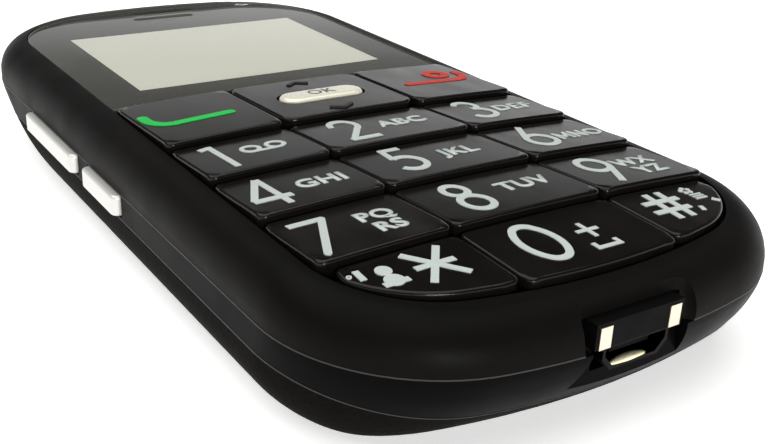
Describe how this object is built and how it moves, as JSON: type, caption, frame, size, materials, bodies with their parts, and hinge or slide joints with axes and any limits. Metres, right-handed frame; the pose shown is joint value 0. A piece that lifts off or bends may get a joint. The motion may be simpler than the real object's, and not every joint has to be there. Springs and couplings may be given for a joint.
{
  "type": "cordless phone handset",
  "caption": "Slim handset with oversized raised keys, a covered display, a silver centre key, side keys and a recess with charging contacts and an inlet socket.",
  "frame": {"origin": "centre of the flat of the back, so the handset lies face up on z = 0", "axes": "+X to the right seen from the front, +Y along the body to the earpiece end, +Z out of the front"},
  "size_m": [0.0545, 0.1098, 0.0155],
  "materials": {
    "housing": "soft-touch matte black",
    "band": "satin black",
    "cover": "finely textured matte black",
    "lens": "glossy, masked black round a clear window",
    "gasket": "black adhesive foam",
    "mesh": "dark fine mesh",
    "display": "pale unlit display, faintly green",
    "white_plastic": "plain moulded white",
    "key": "glossy black with a brown cast",
    "silver_key": "pale silver paint, satin",
    "steel": "stamped, plain",
    "web": "soft silicone",
    "board": "green solder mask",
    "battery": "plain wrapped cell",
    "black_plastic": "moulded black",
    "block": "dark grey, smooth",
    "gold": "thin pale gold plating"
  },
  "bodies": {
    "handset": {"front_housing": "housing", "mid_frame": "band", "display_lens": "lens", "lens_gasket": "gasket", "earpiece_mesh": "mesh", "display_panel": "display", "display_frame": "white_plastic", "antenna_carrier": "white_plastic", "keypad_frame": "steel", "socket_shell": "steel", "housing_screws": "steel", "shield_can_radio": "steel", "shield_can_power": "steel", "dome_sheet": "steel", "vibration_motor": "steel", "sim_holder": "steel", "keypad_web": "web", "main_board": "board", "side_board": "board", "battery": "battery", "battery_connector": "black_plastic", "earpiece_receiver": "black_plastic", "loudspeaker": "black_plastic", "microphone": "black_plastic", "side_switches": "black_plastic", "socket_tongue": "black_plastic", "contact_block": "block", "charge_contact_left": "gold", "charge_contact_right": "gold", "battery_contacts": "gold"},
    "cover": {"battery_cover": "cover"},
    "call_key": {"key_call": "key"},
    "end_key": {"key_end": "key"},
    "1_key": {"key_1": "key"},
    "2_key": {"key_2": "key"},
    "3_key": {"key_3": "key"},
    "4_key": {"key_4": "key"},
    "5_key": {"key_5": "key"},
    "6_key": {"key_6": "key"},
    "7_key": {"key_7": "key"},
    "8_key": {"key_8": "key"},
    "9_key": {"key_9": "key"},
    "star_key": {"key_star": "key"},
    "0_key": {"key_0": "key"},
    "hash_key": {"key_hash": "key"},
    "nav_key": {"key_nav": "key"},
    "ok_key": {"key_ok": "silver_key"},
    "upper_side_key": {"side_key_upper": "silver_key"},
    "lower_side_key": {"side_key_lower": "silver_key"}
  },
  "joints": [
    {"name": "cover_lift", "type": "slide", "parent": "handset", "child": "cover", "axis": [0, 0, -1], "range_m": [0, 0.03]},
    {"name": "call_press", "type": "slide", "parent": "handset", "child": "call_key", "axis": [0, 0, -1], "range_m": [0, 0.00045], "stiffness_N_per_m": 2000, "springref_m": -0.0001},
    {"name": "end_press", "type": "slide", "parent": "handset", "child": "end_key", "axis": [0, 0, -1], "range_m": [0, 0.00045], "stiffness_N_per_m": 2000, "springref_m": -0.0001},
    {"name": "1_press", "type": "slide", "parent": "handset", "child": "1_key", "axis": [0, 0, -1], "range_m": [0, 0.00045], "stiffness_N_per_m": 2000, "springref_m": -0.0001},
    {"name": "2_press", "type": "slide", "parent": "handset", "child": "2_key", "axis": [0, 0, -1], "range_m": [0, 0.00045], "stiffness_N_per_m": 2000, "springref_m": -0.0001},
    {"name": "3_press", "type": "slide", "parent": "handset", "child": "3_key", "axis": [0, 0, -1], "range_m": [0, 0.00045], "stiffness_N_per_m": 2000, "springref_m": -0.0001},
    {"name": "4_press", "type": "slide", "parent": "handset", "child": "4_key", "axis": [0, 0, -1], "range_m": [0, 0.00045], "stiffness_N_per_m": 2000, "springref_m": -0.0001},
    {"name": "5_press", "type": "slide", "parent": "handset", "child": "5_key", "axis": [0, 0, -1], "range_m": [0, 0.00045], "stiffness_N_per_m": 2000, "springref_m": -0.0001},
    {"name": "6_press", "type": "slide", "parent": "handset", "child": "6_key", "axis": [0, 0, -1], "range_m": [0, 0.00045], "stiffness_N_per_m": 2000, "springref_m": -0.0001},
    {"name": "7_press", "type": "slide", "parent": "handset", "child": "7_key", "axis": [0, 0, -1], "range_m": [0, 0.00045], "stiffness_N_per_m": 2000, "springref_m": -0.0001},
    {"name": "8_press", "type": "slide", "parent": "handset", "child": "8_key", "axis": [0, 0, -1], "range_m": [0, 0.00045], "stiffness_N_per_m": 2000, "springref_m": -0.0001},
    {"name": "9_press", "type": "slide", "parent": "handset", "child": "9_key", "axis": [0, 0, -1], "range_m": [0, 0.00045], "stiffness_N_per_m": 2000, "springref_m": -0.0001},
    {"name": "star_press", "type": "slide", "parent": "handset", "child": "star_key", "axis": [0, 0, -1], "range_m": [0, 0.00045], "stiffness_N_per_m": 2000, "springref_m": -0.0001},
    {"name": "0_press", "type": "slide", "parent": "handset", "child": "0_key", "axis": [0, 0, -1], "range_m": [0, 0.00045], "stiffness_N_per_m": 2000, "springref_m": -0.0001},
    {"name": "hash_press", "type": "slide", "parent": "handset", "child": "hash_key", "axis": [0, 0, -1], "range_m": [0, 0.00045], "stiffness_N_per_m": 2000, "springref_m": -0.0001},
    {"name": "nav_rock", "type": "hinge", "parent": "handset", "child": "nav_key", "pos_m": [0, -0.00142, 0.0119], "axis": [1, 0, 0], "range_deg": [-2.5, 2.5], "stiffness_Nm_per_rad": 0.2},
    {"name": "ok_press", "type": "slide", "parent": "handset", "child": "ok_key", "axis": [0, 0, -1], "range_m": [0, 0.00035], "stiffness_N_per_m": 2000, "springref_m": -0.0001},
    {"name": "upper_side_rock", "type": "hinge", "parent": "handset", "child": "upper_side_key", "pos_m": [-0.02415, 0.0169, 0.00765], "axis": [0, 0, 1], "range_deg": [-2.2, 2.2], "stiffness_Nm_per_rad": 0.25},
    {"name": "lower_side_press", "type": "slide", "parent": "handset", "child": "lower_side_key", "axis": [1, 0, 0], "range_m": [0, 0.0004], "stiffness_N_per_m": 2500, "springref_m": -0.0001}
  ]
}
